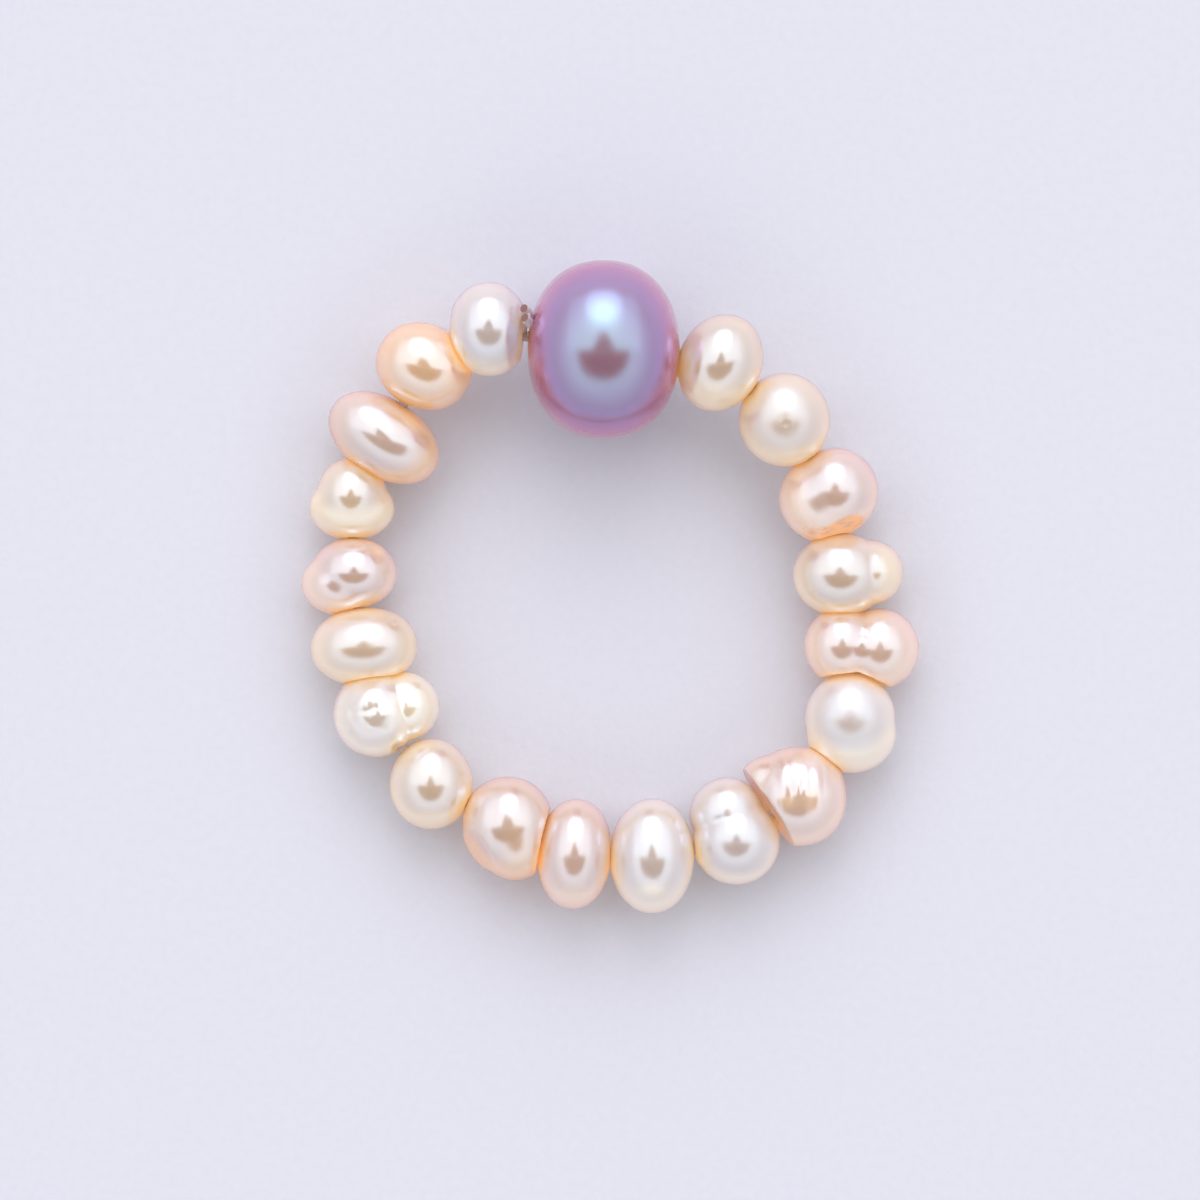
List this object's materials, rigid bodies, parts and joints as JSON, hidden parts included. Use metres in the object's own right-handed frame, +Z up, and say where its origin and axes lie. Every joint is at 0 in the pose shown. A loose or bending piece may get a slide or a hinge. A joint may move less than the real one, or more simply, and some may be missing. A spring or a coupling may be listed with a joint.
{
  "type": "pearl stretch ring",
  "caption": "Finger ring of baroque freshwater pearls with one large purple pearl, threaded on a clear knotted elastic cord and lying flat.",
  "frame": {"origin": "centre of the bounding box of the lying ring, on the surface that it lies on", "axes": "+Z up out of the surface and through the finger hollow; +Y from the middle towards the large pearl; +X to the right when the ring is seen from above with the large pearl at the top"},
  "size_m": [0.0294, 0.031, 0.0084],
  "materials": {
    "purple_nacre": "natural purple nacre with a satin mirror lustre",
    "white_nacre": "silver white nacre with a soft lustre",
    "cream_nacre": "cream nacre with a soft lustre",
    "pink_nacre": "pale pink nacre with a soft lustre",
    "peach_nacre": "peach nacre with a soft lustre",
    "clear_elastic": "clear elastic thread, glossy"
  },
  "bodies": {
    "root": {"centre_pearl": "purple_nacre", "pearl_01": "cream_nacre", "pearl_02": "cream_nacre", "pearl_03": "pink_nacre", "pearl_04": "cream_nacre", "pearl_05": "pink_nacre", "pearl_06": "white_nacre", "pearl_07": "pink_nacre", "pearl_08": "white_nacre", "pearl_09": "white_nacre", "pearl_10": "pink_nacre", "pearl_11": "peach_nacre", "pearl_12": "cream_nacre", "pearl_13": "white_nacre", "pearl_14": "cream_nacre", "pearl_15": "pink_nacre", "pearl_16": "cream_nacre", "pearl_17": "peach_nacre", "pearl_18": "peach_nacre", "pearl_19": "white_nacre", "elastic_cord": "clear_elastic"}
  },
  "joints": []
}
